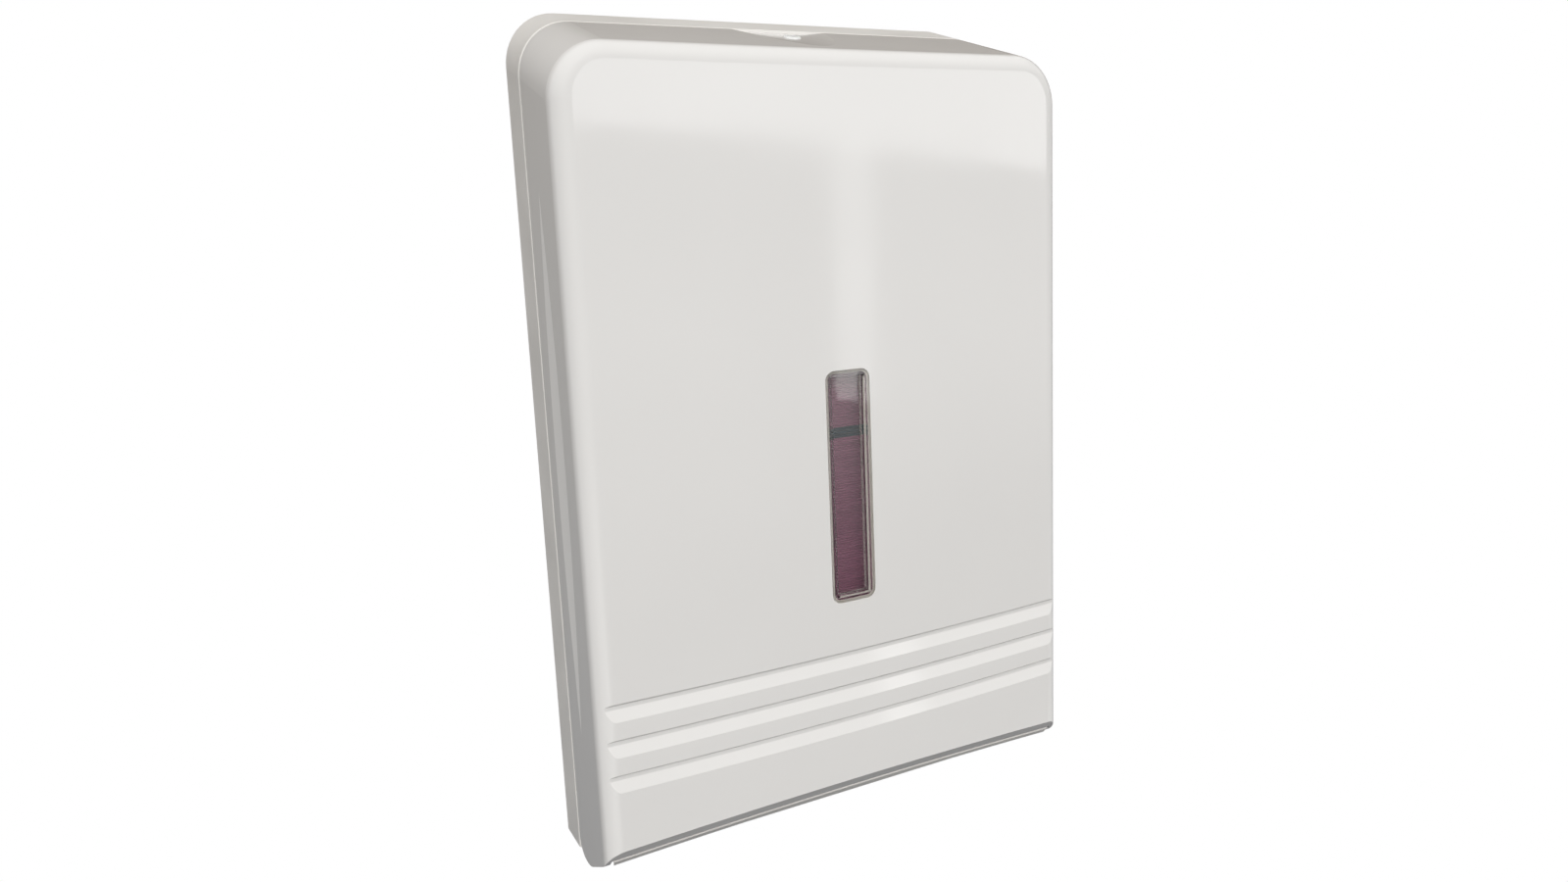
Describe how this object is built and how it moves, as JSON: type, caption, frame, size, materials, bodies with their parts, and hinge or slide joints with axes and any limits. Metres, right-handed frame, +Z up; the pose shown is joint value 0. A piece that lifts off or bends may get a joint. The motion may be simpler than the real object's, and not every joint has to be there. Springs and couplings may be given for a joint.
{
  "type": "paper towel dispenser",
  "caption": "Slim wall-mounted dispenser for folded paper towels: bowed white cover hinged at the bottom, narrow level window, top key lock and a bottom outlet slot.",
  "frame": {"origin": "on the wall plane, in the middle of the four wall-screw holes", "axes": "+X to the right seen from the front, +Y into the wall, +Z up; the front faces -Y"},
  "size_m": [0.266, 0.0895, 0.426],
  "materials": {
    "cover_plastic": "gloss",
    "housing_plastic": "satin",
    "clear_plastic": "polished",
    "bush_nylon": "satin",
    "barrel_plastic": "satin",
    "pin_steel": "satin",
    "cam_steel": "satin",
    "screw_steel": "satin",
    "towel_paper": "matte",
    "divider_paper": "matte"
  },
  "bodies": {
    "base": {"back_housing": "housing_plastic", "outlet_tray": "housing_plastic", "tray_screws": "screw_steel", "left_towel_guide": "housing_plastic", "right_towel_guide": "housing_plastic", "guide_screws": "screw_steel", "left_hinge_bush": "bush_nylon", "right_hinge_bush": "bush_nylon", "lock_keeper": "cam_steel", "keeper_screws": "screw_steel", "lower_towel_clip": "towel_paper", "clip_divider": "divider_paper", "upper_towel_clip": "towel_paper"},
    "cover": {"front_cover": "cover_plastic", "window_lens": "clear_plastic", "left_hinge_pin": "pin_steel", "right_hinge_pin": "pin_steel", "lock_sleeve": "bush_nylon", "sleeve_screws": "screw_steel"},
    "lock": {"lock_barrel": "barrel_plastic", "hook_cam": "cam_steel", "cam_screw": "screw_steel"}
  },
  "joints": [
    {"name": "cover_hinge", "type": "hinge", "parent": "base", "child": "cover", "pos_m": [0, -0.037, -0.199], "axis": [1, 0, 0], "range_deg": [0, 95]},
    {"name": "lock_turn", "type": "hinge", "parent": "cover", "child": "lock", "pos_m": [0, -0.044, 0.19819], "axis": [0, -0.319, 0.9478], "range_deg": [0, 90]}
  ]
}
